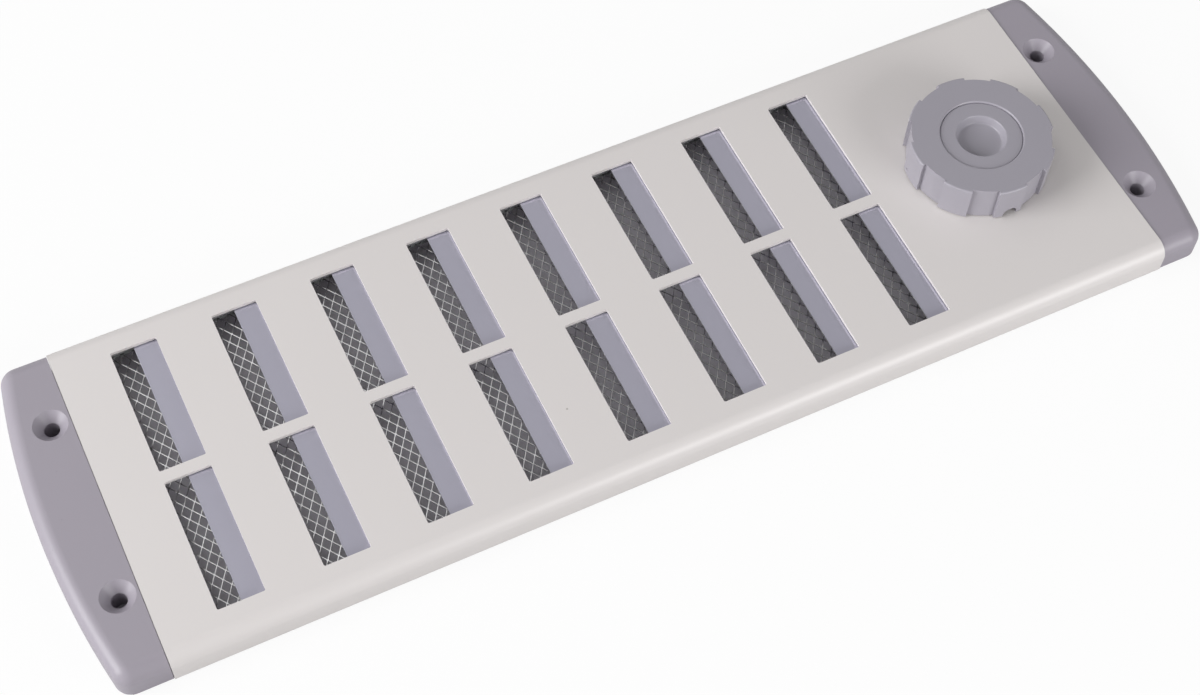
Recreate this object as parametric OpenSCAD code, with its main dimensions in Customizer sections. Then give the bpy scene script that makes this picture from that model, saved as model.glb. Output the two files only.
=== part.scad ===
// Sliding vent grille: a slotted channel with end caps, a shutter and a turning knob.
// Origin: middle of the back face. +X runs to the knob end, +Z points out of the wall.

/* [Slots] */
// Number of slot columns along the cover
slot_columns = 8; // [3:1:12]
// Distance from one slot column to the next
slot_pitch = 30; // [26:0.1:40]
// Width of one slot
slot_width = 13.5; // [9:0.1:14.5]
// Length of one slot across the cover
slot_length = 41.5; // [30:0.1:60]
// Radius of the corners of a slot
slot_corner = 0.5; // [0.2:0.1:2]
// Bridge of sheet between the two rows of slots
row_bridge = 3.8; // [3:0.1:10]
// Plain edge from a slot's end to the side of the cover
side_margin = 9.1; // [8.8:0.1:14]
// Plain end from the left edge of the cover to the first slot
left_margin = 16.35; // [15.5:0.05:30]
// Plain end from the last slot to the right edge of the cover, where the knob sits
knob_margin = 69.35; // [67:0.05:90]

/* [Cover] */
// Wall of the cover's sides
cover_wall = 1.8; // [1.5:0.1:2.5]
// Wall of the cover's slotted top
cover_web = 1; // [0.9:0.05:1.3]
// Outer radius of the cover's long edges
cover_radius = 4.5; // [3:0.1:5]
// Radius inside the cover's long edges
cover_inner_radius = 2; // [1.6:0.1:2.2]
// Height of the groove that the shutter slides in
groove_height = 1.6; // [1.5:0.05:2.4]
// Thickness of the ledge under the groove
ledge_thickness = 1.8; // [1.6:0.1:3]
// Width of the ledge, from the inside of the wall
ledge_width = 4.9; // [4.6:0.1:5.2]

/* [Shutter] */
// Thickness of the shutter sheet
shutter_thickness = 0.8; // [0.6:0.05:1]
// How far the shutter covers each slot at rest
shutter_cover = 6.75; // [0.5:0.05:12]
// Extra length of the shutter's windows past each end of a slot
window_extra = 0.5; // [0:0.1:0.8]
// Gap between the edge of the shutter sheet and the cover's wall
shutter_side_gap = 2.6; // [2.5:0.1:3]
// Length of one edge glide
glide_length = 12; // [6:0.5:15]
// Clearance of a glide in its groove, above and below
glide_clearance = 0.1; // [0.05:0.01:0.2]
// Distance that a glide stands out past the shutter's edge
glide_stand = 0.8; // [0.4:0.1:1]
// Depth of a glide over the sheet, from its outer face
glide_depth = 3.4; // [3:0.1:3.8]

/* [Insect screen] */
// Width of one strand of the expanded mesh
strand_width = 0.45; // [0.3:0.05:0.6]
// Thickness of one strand of the expanded mesh
strand_thickness = 0.35; // [0.2:0.05:0.42]
// Width of one diamond of the mesh, along the cover
cell_width = 3.2; // [2.6:0.1:6]
// Length of one diamond of the mesh, along a slot
cell_length = 4.6; // [3:0.1:8]
// Thickness of the folded frame
screen_frame_thickness = 1.6; // [1.4:0.1:2]
// Width of the folded frame
screen_frame_width = 5; // [4.4:0.1:5.4]
// Height of the fold that the edge of the mesh lies in
screen_fold_height = 1; // [0.95:0.01:1.1]
// Width of the pressed edge of the mesh
screen_edge_width = 1.5; // [1:0.1:2]

/* [Gear drive] */
// Size of the teeth: pitch diameter divided by tooth count
gear_module = 1; // [0.8:0.1:1.2]
// Number of pinion teeth
pinion_teeth = 19; // [17:1:22]
// Pressure angle of the teeth
pressure_angle = 20; // [14.5:0.5:25]
// Play between the teeth, measured along the pitch line
backlash = 0.24; // [0.1:0.01:0.4]
// Width of the rack behind its teeth
rack_back = 5; // [4:0.1:7]
// Radius of the drive shaft
shaft_radius = 3; // [2.5:0.1:3.5]
// Running clearance of the shaft in its bushes, on the radius
shaft_clearance = 0.05; // [0.02:0.01:0.09]
// Distance between the two flats of the shaft
shaft_flats = 4.6; // [4:0.1:5]
// Drop of the bridge's floor under its flanges
bridge_drop = 3.2; // [2.9:0.1:4.5]
// Thickness of the bridge sheet
bridge_thickness = 1.2; // [1:0.1:2]
// Length of the bridge along the cover
bridge_length = 50; // [48:0.5:54]
// Wall of the lower bush in the bridge
lower_bush_wall = 1; // [0.8:0.1:1.5]
// Wall of the upper bush in the cover
upper_bush_wall = 3; // [2:0.1:4]
// Thickness of the retaining clip
clip_thickness = 0.5; // [0.4:0.05:0.8]
// Clearance between the shaft's foot and the wall behind the grille
foot_gap = 0.2; // [0.1:0.1:2]

/* [Knob] */
// Distance from the right edge of the cover to the knob's axis
knob_from_edge = 34.9; // [33:0.1:40]
// Outer diameter of the knob
knob_diameter = 44; // [38:0.5:56]
// Height of the knob's skirt
knob_height = 12; // [11.5:0.1:20]
// Gap between the knob's skirt and the cover
knob_gap = 0.4; // [0.3:0.1:1]
// Number of grip notches
knob_notches = 8; // [6:1:12]
// Depth of a grip notch
notch_depth = 0.9; // [0.4:0.1:1.5]
// Angle of one grip land
land_angle = 23.5; // [12:0.5:26]
// Wall of the knob
knob_wall = 2.2; // [1.6:0.1:3]
// Diameter of the insert in the middle of the knob
insert_diameter = 24.7; // [22:0.1:28]
// Depth of the insert's face under the knob's face
insert_sink = 0.55; // [0.2:0.05:0.8]
// Diameter of the dish in the insert
dish_diameter = 15; // [12:0.1:17]
// Depth of the dish
dish_depth = 3; // [1.5:0.1:3.1]

/* [End caps] */
// Length of an end cap past the cover
cap_reach = 19.4; // [18:0.1:30]
// Bow of the cap's outer edge
cap_bulge = 5.5; // [3:0.1:8]
// Radius of the cap's upright corners
cap_corner = 6; // [5:0.1:8]
// Radius along the top of the bowed edge
cap_edge_radius = 6; // [4:0.1:6.5]
// Step from the cover's surface down to the cap's surface
cap_inset = 0.3; // [0.1:0.05:0.6]
// Wall of the cap
cap_wall = 2.4; // [1.8:0.1:2.6]
// Depth of the plug that enters the cover
plug_depth = 7.5; // [5:0.1:8]
// Clearance of the plug in the cover
plug_clearance = 0.1; // [0.05:0.05:0.3]

/* [Fixing holes] */
// Distance from the edge of the cover to a fixing hole
fixing_from_edge = 5.9; // [5.6:0.1:8]
// Distance between the two fixing holes of one cap
fixing_spacing = 57; // [40:0.5:75]
// Diameter of a fixing hole
fixing_diameter = 4.5; // [3.5:0.1:5]
// Diameter of the countersink at the surface
countersink_diameter = 9.9; // [8:0.1:10.4]

/* [Small screws] */
// Radius of a retaining screw's shank
screw_radius = 1; // [0.8:0.05:1.2]
// Radius of a retaining screw's head
screw_head_radius = 1.9; // [1.6:0.1:2]
// Height of a retaining screw's head
screw_head_height = 0.9; // [0.6:0.1:1.2]
// Length of a retaining screw under its head
screw_length = 2.9; // [2.6:0.1:2.9]

/* [Hidden] */
$fn = 64;

// Overrun of a cutting solid past the face it cuts
cut = 1;
// Slack between two fixed pieces that fit into each other
fit = 0.03;
// Gap between a moving piece and the stop that it meets
stop_gap = 0.3;
// Gap between the two layers of strands
strand_gap = 0.02;
// Play of a turning piece along the shaft
end_play = 0.1;

// Levels, counted from the back face: the cover is as high as what it holds
foot_height = 0.4;
floor_bottom = foot_gap + foot_height + clip_thickness + end_play;
floor_top = floor_bottom + bridge_thickness;
ledge_bottom = floor_top + bridge_drop;
ledge_top = ledge_bottom + ledge_thickness;
cover_under = ledge_top + groove_height;
cover_height = cover_under + cover_web;
shutter_z = ledge_top + (groove_height - shutter_thickness) / 2;
screen_frame_z = ledge_bottom - screen_frame_thickness;
screen_mid = ledge_bottom - screen_frame_thickness / 2;

// Plan sizes
row_length = (slot_columns - 1) * slot_pitch + slot_width;
cover_length = left_margin + row_length + knob_margin;
cover_width = 2 * slot_length + row_bridge + 2 * side_margin;
cover_end = cover_length / 2;
inner_half_width = cover_width / 2 - cover_wall;
ledge_edge = inner_half_width - ledge_width;
screw_from_wall = 2.2;
screw_line = inner_half_width - screw_from_wall;
first_slot = -cover_end + left_margin;
last_slot_end = first_slot + row_length;
knob_x = cover_end - knob_from_edge;

// Gear: the rack lies on the -Y side, so turning the knob clockwise closes the shutter
gear_radius = gear_module * pinion_teeth / 2;
tooth_pitch = PI * gear_module;
addendum = gear_module;
dedendum = 1.25 * gear_module;
gear_tip = gear_radius + addendum;
open_travel = shutter_cover;
close_travel = slot_pitch / 2 - shutter_cover;
spare_teeth = 0.8;
rack_before = ceil(open_travel / tooth_pitch + spare_teeth) + 0.5;
rack_after = ceil(close_travel / tooth_pitch + spare_teeth) + 0.5;
rivet_from_end = 1.4;
rack_pitch_line = -gear_radius;
rack_root = rack_pitch_line - dedendum;
rack_floor_gap = 0.4;
rack_z = floor_top + rack_floor_gap;
rivet_radius = 1.25;
rivet_head_radius = 2.2;
rivet_head_gap = 0.1;
rivet_sink = 0.7;
rivet_cone = 0.5;
rivet_y = rack_root - rack_back / 2;

// Shutter
shutter_left = first_slot + slot_width - shutter_cover;
fork_end_gap = 1.1;
fork_side_gap = 0.9;
arm_past_rack = 3;
fork_start = knob_x - gear_tip - open_travel - fork_end_gap;
fork_half_width = gear_tip + fork_side_gap;
arm_end = knob_x + rack_after * tooth_pitch + arm_past_rack;
shutter_half_width = inner_half_width - shutter_side_gap;
glide_outer = shutter_half_width + glide_stand;
glide_notch = 1;
glide_count = 3;

// Screen frame
screen_to_plug = 1.3;
screen_past_slots = 2.4;
screen_side_gap = 0.5;
screen_left = -cover_end + plug_depth + screen_to_plug;
screen_right = last_slot_end + screen_past_slots + screen_frame_width;
screen_half_width = inner_half_width - screen_side_gap;
fold_depth = 2.1;
fold_end_gap = 0.2;
screen_screws_per_side = 4;
screen_screw_inset = 8;
screw_cross = 2;
screw_cross_depth = 0.5;
screw_point = 0.4;
screen_screw_run = screen_right - screen_left - 2 * screen_screw_inset;

// Bridge and shaft
bridge_left = knob_x - bridge_length / 2;
bridge_half_width = screen_half_width;
bridge_web_inset = 4;
bridge_web = ledge_edge - bridge_web_inset;
bridge_relief_inset = 12;
bridge_relief_radius = 6;
bridge_screw_inset = 4;
lower_flange_height = 0.4;
lower_flange_width = 1.5;
lower_bush_radius = shaft_radius + shaft_clearance + lower_bush_wall;
upper_bush_radius = shaft_radius + shaft_clearance + upper_bush_wall;
upper_flange_height = 0.8;
upper_flange_width = 3;
upper_flange_radius = upper_bush_radius + upper_flange_width;
upper_bush_stand = 0.3;
pinion_bottom = floor_top + lower_flange_height + end_play;
spring_space = 0.6;
spring_height = spring_space - end_play;
spring_sheet = 0.25;
spring_bore_gap = 0.2;
spring_rim_gap = 0.3;
pinion_top = cover_under - upper_flange_height - spring_space;
pinion_hub_stand = 0.3;
pinion_face_top = pinion_top - pinion_hub_stand;
pinion_hub_radius = 6.5;
clip_groove_depth = 0.7;
clip_groove_radius = shaft_radius - clip_groove_depth;
clip_z = foot_gap + foot_height;
clip_width = 2.4;
clip_mouth = 0.8;
clip_ear_angle = 115;

// Knob levels
knob_bottom = cover_height + knob_gap;
knob_top = knob_bottom + knob_height;
knob_radius = knob_diameter / 2;
insert_radius = insert_diameter / 2;
insert_thickness = 1.8;
insert_top = knob_top - insert_sink;
insert_seat = insert_top - insert_thickness;
dish_floor = 0.9;
dish_wall_run = 1.3;
dish_hollow = 0.6;
dish_rim_edge = 0.35;
hook_inset = 1;
hook_width = 0.9;
hook_depth = 1.2;
screw_space = 0.25;
knob_screw_radius = 1.5;
knob_screw_head_radius = 2.8;
knob_screw_head_height = 1.7;
knob_screw_tip = 0.5;
knob_cross = 3;
knob_cross_depth = 0.9;
washer_height = 0.4;
web_height = 1;
insert_seat_width = 1.15;
insert_gap = 0.1;
well_radius = insert_radius - insert_seat_width;
well_wall = 2.2;
web_top = insert_top - dish_depth - dish_floor - screw_space - knob_screw_head_height - washer_height;
web_bottom = web_top - web_height;
hub_bottom = cover_height + upper_bush_stand + stop_gap;
hub_wall = 2.5;
hub_radius = shaft_radius + hub_wall;
shaft_top = web_bottom - end_play;
knob_rib = 1.2;
knob_rib_inset = 1;
screw_hole_gap = 0.2;
washer_hole_gap = 0.1;
washer_rim = 0.9;
arch_angle = -93.5;
arch_radius = 2.3;
arch_rise = 0.6;
land_phase = -5;
grip_edge = 0.6;

// End caps
cap_half_width = cover_width / 2 - cap_inset;
cap_height = cover_height - cap_inset;
cap_side_radius = cover_radius;
cap_bow_radius = (pow(cap_half_width, 2) + pow(cap_bulge, 2)) / (2 * cap_bulge);
boss_margin = 0.4;
boss_radius = countersink_diameter / 2 + boss_margin;
rib = 1.4;
plug_wall = 1.6;
plug_cells = 5;
plug_side_gap = 0.8;

// Places a profile drawn in Y and Z and stretches it along X
module along_x(length) {
    rotate([90, 0, 90])
        linear_extrude(length)
            children();
}

// Upright profile of a channel with two round top corners
module round_top(half_width, height, radius) {
    for (side = [-1, 1])
        translate([side * (half_width - radius), height - radius])
            circle(radius);
    translate([-half_width, 0])
        square([2 * half_width, height - radius]);
    translate([radius - half_width, 0])
        square([2 * (half_width - radius), height]);
}

// Straight box given by its low and high corners
module block(low, high) {
    translate(low)
        cube(high - low);
}

// Same children on the -Y and the +Y side
module both_sides() {
    children();
    mirror([0, 1, 0])
        children();
}

// One punched window with round corners
module window(width, length) {
    translate([slot_corner, 0])
        square([width - 2 * slot_corner, length]);
    translate([0, slot_corner])
        square([width, length - 2 * slot_corner]);
    for (x = [slot_corner, width - slot_corner], y = [slot_corner, length - slot_corner])
        translate([x, y])
            circle(slot_corner, $fn = 16);
}

// Windows of one row pattern, used by the cover and by the shutter
module slot_windows(first_column, shift, extra) {
    for (column = [first_column : slot_columns - 1], row = [0, 1])
        mirror([0, row])
            translate([first_slot + column * slot_pitch - shift, row_bridge / 2 - extra])
                window(slot_width, slot_length + 2 * extra);
}

// Places of the screws that hold the screen frame
function screen_screw_places() = [
    for (i = [0 : screen_screws_per_side - 1])
        screen_left + screen_screw_inset + i * screen_screw_run / (screen_screws_per_side - 1)
];

// Places of the screws that hold the bridge
function bridge_screw_places() = [
    bridge_left + bridge_screw_inset,
    bridge_left + bridge_length - bridge_screw_inset
];

module cover_profile() {
    difference() {
        round_top(cover_width / 2, cover_height, cover_radius);
        difference() {
            translate([0, -cut])
                round_top(inner_half_width, cover_under + cut, cover_inner_radius);
            for (side = [0, 1])
                mirror([side, 0])
                    translate([ledge_edge, ledge_bottom])
                        square([2 * ledge_width, ledge_thickness]);
        }
    }
}

module cover() {
    color("#DCD7D4")
    difference() {
        translate([-cover_end, 0, 0])
            along_x(cover_length)
                cover_profile();
        translate([0, 0, cover_under - cut])
            linear_extrude(cover_web + 2 * cut)
                slot_windows(0, 0, 0);
        translate([knob_x, 0, cover_under - cut])
            cylinder(r = upper_bush_radius + fit, h = cover_web + 2 * cut);
        both_sides()
            for (x = concat(screen_screw_places(), bridge_screw_places()))
                translate([x, screw_line, ledge_bottom - cut])
                    cylinder(r = screw_radius + fit, h = ledge_thickness + cut + groove_height / 4);
    }
}

// Outline of a cap in plan, inset by a wall; the cover's end lies at x = 0
module cap_outline(inset) {
    bow = cap_bow_radius - inset;
    half_width = cap_half_width - inset;
    corner = cap_corner - inset;
    bow_x = cap_reach - cap_bow_radius;
    corner_x = bow_x + sqrt(pow(bow - corner, 2) - pow(half_width - corner, 2));
    intersection() {
        union() {
            translate([0, -half_width])
                square([corner_x, 2 * half_width]);
            translate([0, corner - half_width])
                square([cap_reach, 2 * (half_width - corner)]);
            for (side = [-1, 1])
                translate([corner_x, side * (half_width - corner)])
                    circle(corner);
        }
        translate([bow_x, 0])
            circle(bow, $fn = 256);
    }
}

// Solid outer form of a cap: side edges rounded along X, bowed edge rounded by a revolve
module cap_form() {
    intersection() {
        along_x(cap_reach + cut)
            round_top(cap_half_width, cap_height, cap_side_radius);
        linear_extrude(cap_height + cut)
            cap_outline(0);
        translate([cap_reach - cap_bow_radius, 0, 0])
            rotate_extrude($fn = 256)
                intersection() {
                    round_top(cap_bow_radius, cap_height, cap_edge_radius);
                    square([cap_bow_radius + cut, cap_height + cut]);
                }
    }
}

// Ribs and screw bosses inside a cap
module cap_inner() {
    for (side = [-1, 1]) {
        translate([fixing_from_edge, side * fixing_spacing / 2, 0])
            cylinder(r = boss_radius, h = cap_height);
        translate([0, side * fixing_spacing / 2 - rib / 2, 0])
            cube([cap_reach, rib, cap_height]);
        translate([0, side * fixing_spacing / 6 - rib / 2, 0])
            cube([cap_reach, rib, cap_height]);
    }
}

// Open box that enters the cover under its top, with a thin tongue that stops the shutter
module cap_plug(tongue) {
    half_width = ledge_edge - plug_side_gap;
    top = cover_under - plug_clearance;
    bottom = floor_bottom;
    cell_step = (2 * half_width - plug_wall) / plug_cells;
    difference() {
        block([-plug_depth, -half_width, bottom], [cap_wall / 2, half_width, top]);
        for (cell = [0 : plug_cells - 1])
            block(
                [plug_wall - plug_depth, plug_wall - half_width + cell * cell_step, bottom - cut],
                [0, (cell + 1) * cell_step - half_width, top - plug_wall]
            );
    }
    block([-tongue, -half_width, top - plug_wall], [0, half_width, top]);
}

module end_cap(tongue) {
    difference() {
        union() {
            difference() {
                cap_form();
                translate([cap_wall, 0, -cut])
                    linear_extrude(cap_height - cap_wall + cut)
                        intersection() {
                            translate([-cap_wall, 0])
                                cap_outline(cap_wall);
                            translate([0, -cover_width])
                                square([cap_reach, 2 * cover_width]);
                        }
            }
            intersection() {
                cap_inner();
                cap_form();
            }
            cap_plug(tongue);
        }
        for (side = [-1, 1])
            translate([fixing_from_edge, side * fixing_spacing / 2, 0]) {
                translate([0, 0, -cut])
                    cylinder(r = fixing_diameter / 2, h = cap_height + 2 * cut);
                translate([0, 0, cap_height - (countersink_diameter - fixing_diameter) / 2])
                    cylinder(
                        r1 = fixing_diameter / 2,
                        r2 = countersink_diameter / 2 + cut,
                        h = (countersink_diameter - fixing_diameter) / 2 + cut
                    );
            }
    }
}

module left_end_cap() {
    tongue = shutter_left - close_travel - stop_gap + cover_end;
    color("#A79FAA")
    mirror([1, 0, 0])
        translate([cover_end, 0, 0])
            end_cap(tongue);
}

module right_end_cap() {
    tongue = cover_end - arm_end - open_travel - stop_gap;
    color("#A79FAA")
    translate([cover_end, 0, 0])
        end_cap(tongue);
}

module mesh_frame() {
    inner_half_width = screen_half_width - screen_frame_width;
    inner_left = screen_left + screen_frame_width;
    inner_right = screen_right - screen_frame_width;
    fold_low = screen_mid - screen_fold_height / 2;
    fold_high = screen_mid + screen_fold_height / 2;
    fold_reach = screen_frame_width - fold_depth;
    color("#C9CACC")
    difference() {
        block(
            [screen_left, -screen_half_width, screen_frame_z],
            [screen_right, screen_half_width, ledge_bottom]
        );
        block(
            [inner_left, -inner_half_width, screen_frame_z - cut],
            [inner_right, inner_half_width, ledge_bottom + cut]
        );
        block(
            [screen_left + fold_reach, fold_reach - screen_half_width, fold_low],
            [screen_right - fold_reach, screen_half_width - fold_reach, fold_high]
        );
        both_sides()
            for (x = screen_screw_places())
                translate([x, screw_line, screen_frame_z - cut])
                    cylinder(r = screw_radius + 2 * fit, h = screen_frame_thickness + 2 * cut);
    }
}

// Ends of a strand on the line x + slope * y = c, inside a rectangle
function strand_ends(c, slope, left, right, half) =
    let (
        at_left = (c - left) / slope,
        at_right = (c - right) / slope,
        low = max(-half, min(at_left, at_right)),
        high = min(half, max(at_left, at_right))
    )
    [[c - slope * low, low], [c - slope * high, high]];

module strand(ends, z) {
    run = ends[1] - ends[0];
    translate([ends[0].x, ends[0].y, z])
        rotate(atan2(run.y, run.x))
            translate([0, -strand_width / 2, -strand_thickness / 2])
                cube([norm(run), strand_width, strand_thickness]);
}

// Expanded mesh: two crossing families of flat strands with a pressed edge
module wire_mesh() {
    reach = screen_frame_width - fold_depth + fold_end_gap;
    left = screen_left + reach;
    right = screen_right - reach;
    half = screen_half_width - reach;
    edge_low = screen_mid - screen_fold_height / 2 + fit;
    edge_high = screen_mid + screen_fold_height / 2 - fit;
    middle = screen_edge_width / 2;
    slope = cell_width / cell_length;
    layer = (strand_thickness + strand_gap) / 2;
    spread = right - left + 2 * half * slope;
    color("#B9BBBE") {
        difference() {
            block([left, -half, edge_low], [right, half, edge_high]);
            block(
                [left + screen_edge_width, screen_edge_width - half, edge_low - cut],
                [right - screen_edge_width, half - screen_edge_width, edge_high + cut]
            );
        }
        for (side = [-1, 1], i = [1 : floor(spread / cell_width)]) {
            c = left - half * slope + i * cell_width;
            ends = strand_ends(c, side * slope, left + middle, right - middle, half - middle);
            if (ends[1].y - ends[0].y > cell_length)
                strand(ends, screen_mid + side * layer);
        }
    }
}

// Screw holes through a flange
module flange_holes(places, z, thickness) {
    both_sides()
        for (x = places)
            translate([x, screw_line, z - cut])
                cylinder(r = screw_radius + 2 * fit, h = thickness + 2 * cut);
}

module bearing_bridge() {
    flange_z = ledge_bottom - bridge_thickness;
    relief = bridge_web - bridge_relief_inset;
    color("#B4B6B8")
    difference() {
        translate([bridge_left, 0, 0])
            along_x(bridge_length)
                difference() {
                    translate([-bridge_half_width, floor_bottom])
                        square([2 * bridge_half_width, ledge_bottom - floor_bottom]);
                    for (side = [0, 1])
                        mirror([side, 0])
                            translate([bridge_web, floor_bottom - cut])
                                square([bridge_half_width, flange_z - floor_bottom + cut]);
                    translate([bridge_thickness - bridge_web, floor_top])
                        square([2 * (bridge_web - bridge_thickness), ledge_bottom]);
                }
        translate([knob_x, 0, floor_bottom - cut])
            cylinder(r = lower_bush_radius + fit, h = bridge_thickness + 2 * cut);
        flange_holes(bridge_screw_places(), flange_z, bridge_thickness);
        for (side = [-1, 1])
            translate([knob_x, side * relief, floor_bottom - cut])
                cylinder(r = bridge_relief_radius, h = bridge_thickness + 2 * cut);
    }
}

module upper_bush() {
    color("#E8E6E0")
    translate([knob_x, 0, 0])
        difference() {
            union() {
                translate([0, 0, cover_under - upper_flange_height])
                    cylinder(r = upper_flange_radius, h = upper_flange_height);
                translate([0, 0, cover_under - upper_flange_height])
                    cylinder(r = upper_bush_radius, h = upper_flange_height + cover_web + upper_bush_stand);
            }
            translate([0, 0, -cut])
                cylinder(r = shaft_radius + shaft_clearance, h = knob_top);
        }
}

module lower_bush() {
    color("#E8E6E0")
    translate([knob_x, 0, 0])
        difference() {
            union() {
                translate([0, 0, floor_bottom])
                    cylinder(r = lower_bush_radius, h = bridge_thickness + lower_flange_height);
                translate([0, 0, floor_top])
                    cylinder(r = lower_bush_radius + lower_flange_width, h = lower_flange_height);
            }
            translate([0, 0, -cut])
                cylinder(r = shaft_radius + shaft_clearance, h = knob_top);
        }
}

// Pan head screw, driven upwards, with its head under z
module retaining_screw(z) {
    translate([0, 0, z - screw_head_height])
        difference() {
            intersection() {
                cylinder(r = screw_head_radius, h = screw_head_height);
                translate([0, 0, 2 * screw_head_radius])
                    sphere(2 * screw_head_radius);
            }
            for (turn = [0, 90])
                rotate(turn)
                    translate([-screw_cross / 2, -screw_cross / 10, -cut])
                        cube([screw_cross, screw_cross / 5, cut + screw_cross_depth]);
        }
    translate([0, 0, z - fit])
        cylinder(r = screw_radius, h = screw_length - screw_point + fit);
    translate([0, 0, z + screw_length - screw_point])
        cylinder(r1 = screw_radius, r2 = screw_radius / 2, h = screw_point);
}

module retaining_screws() {
    color("#B4B6B8")
    both_sides() {
        for (x = screen_screw_places())
            translate([x, screw_line, 0])
                retaining_screw(screen_frame_z);
        for (x = bridge_screw_places())
            translate([x, screw_line, 0])
                retaining_screw(ledge_bottom - bridge_thickness);
    }
}

// Places of the glides along the shutter
function glide_places() = [
    for (i = [0 : glide_count - 1])
        shutter_left + glide_length + i * (arm_end - shutter_left - 2 * glide_length) / (glide_count - 1)
];

// Places of the rivets along the rack
function rivet_places() = [
    knob_x - (rack_before - rivet_from_end) * tooth_pitch,
    knob_x + (rack_after - rivet_from_end) * tooth_pitch
];

module shutter_outline() {
    difference() {
        translate([shutter_left, -shutter_half_width])
            square([arm_end - shutter_left, 2 * shutter_half_width]);
        slot_windows(1, shutter_cover, window_extra);
        translate([fork_start + fork_half_width, 0])
            circle(fork_half_width);
        translate([fork_start + fork_half_width, -fork_half_width])
            square([cover_length, 2 * fork_half_width]);
        for (x = glide_places(), side = [0, 1])
            mirror([0, side])
                translate([x - glide_length / 2, shutter_half_width - glide_notch])
                    square([glide_length, 2 * glide_notch]);
        for (x = rivet_places())
            translate([x, rivet_y])
                circle(rivet_radius + fit);
    }
}

module shutter_plate() {
    color("#9F9DA9")
    difference() {
        translate([0, 0, shutter_z])
            linear_extrude(shutter_thickness)
                shutter_outline();
        for (x = rivet_places())
            translate([x, rivet_y, 0])
                rivet_cone_solid(shutter_z + shutter_thickness, 1);
    }
}

module shutter_glides() {
    low = ledge_top + glide_clearance;
    high = cover_under - glide_clearance;
    notch_edge = shutter_half_width - glide_notch;
    color("#E8E6E0")
    both_sides()
        for (x = glide_places())
            difference() {
                block(
                    [x - glide_length / 2 + fit, glide_outer - glide_depth, low],
                    [x + glide_length / 2 - fit, glide_outer, high]
                );
                block(
                    [x - glide_length, glide_outer - glide_depth - cut, shutter_z - fit],
                    [x + glide_length, notch_edge + fit, shutter_z + shutter_thickness + fit]
                );
            }
}

// Straight toothed outline, with teeth towards +Y from the pitch line
module rack_outline() {
    half_tooth = tooth_pitch / 4 - backlash / 4;
    tip = half_tooth - addendum * tan(pressure_angle);
    root = half_tooth + dedendum * tan(pressure_angle);
    left = -rack_before * tooth_pitch;
    right = rack_after * tooth_pitch;
    polygon([
        [right, -dedendum],
        [right, -dedendum - rack_back],
        [left, -dedendum - rack_back],
        [left, -dedendum],
        for (tooth = [0.5 - rack_before : rack_after - 0.5])
            let (middle = tooth * tooth_pitch)
            each [
                [middle - root, -dedendum],
                [middle - tip, addendum],
                [middle + tip, addendum],
                [middle + root, -dedendum]
            ]
    ]);
}

module rack() {
    color("#E8E6E0")
    difference() {
        translate([knob_x, rack_pitch_line, rack_z])
            linear_extrude(shutter_z - rack_z)
                rack_outline();
        for (x = rivet_places())
            translate([x, rivet_y, 0]) {
                cylinder(r = rivet_radius + fit, h = cover_height);
                translate([0, 0, rack_z - cut])
                    cylinder(r = rivet_head_radius + fit, h = rivet_sink + cut);
            }
    }
}

// Cone that closes a rivet flush in the countersunk sheet, or the seat that it fills
module rivet_cone_solid(top, spread) {
    run_in = rivet_radius / 4;
    translate([0, 0, top - rivet_cone - run_in])
        cylinder(
            r1 = rivet_radius + fit * spread - run_in,
            r2 = rivet_radius + fit * spread + rivet_cone + cut * spread,
            h = run_in + rivet_cone + cut * spread
        );
}

module rack_rivets() {
    plate_top = shutter_z + shutter_thickness;
    color("#B4B6B8")
    for (x = rivet_places())
        translate([x, rivet_y, 0]) {
            translate([0, 0, rack_z + rivet_head_gap])
                cylinder(r = rivet_head_radius, h = rivet_sink - rivet_head_gap);
            translate([0, 0, rack_z + rivet_head_gap])
                cylinder(r = rivet_radius, h = plate_top - rack_z - rivet_head_gap);
            rivet_cone_solid(plate_top, 0);
        }
}

// Flats cut from a shaft or left in a hole: a disc between two parallel lines
module flatted(radius, flats) {
    intersection() {
        circle(radius);
        translate([-flats / 2, -radius])
            square([flats, 2 * radius]);
    }
}

module drive_shaft() {
    color("#B9BBBE")
    translate([knob_x, 0, 0])
        difference() {
            union() {
                translate([0, 0, foot_gap])
                    cylinder(r = shaft_radius, h = pinion_bottom - foot_gap);
                translate([0, 0, pinion_bottom])
                    linear_extrude(pinion_top - pinion_bottom)
                        flatted(shaft_radius, shaft_flats);
                translate([0, 0, pinion_top])
                    cylinder(r = shaft_radius, h = hub_bottom - pinion_top);
                translate([0, 0, hub_bottom])
                    linear_extrude(shaft_top - hub_bottom)
                        flatted(shaft_radius, shaft_flats);
            }
            difference() {
                translate([0, 0, clip_z])
                    cylinder(r = shaft_radius + cut, h = clip_thickness);
                cylinder(r = clip_groove_radius, h = cover_height);
            }
            translate([0, 0, hub_bottom])
                cylinder(r = knob_screw_radius, h = knob_top);
        }
}

// Point of an involute that starts on a base circle, at a given radius
function involute_angle(base, radius) =
    let (roll = sqrt(pow(radius / base, 2) - 1))
    roll * 180 / PI - atan(roll);

// Half of one tooth flank as points [radius, angle from the tooth's middle]
function flank(half_angle, base, root, tip, steps) = [
    for (i = [0 : steps])
        let (
            radius = max(root, base) + (tip - max(root, base)) * i / steps,
            angle = half_angle - involute_angle(base, radius)
        )
        [radius, angle]
];

function polar(radius, angle) = [radius * cos(angle), radius * sin(angle)];

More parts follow.
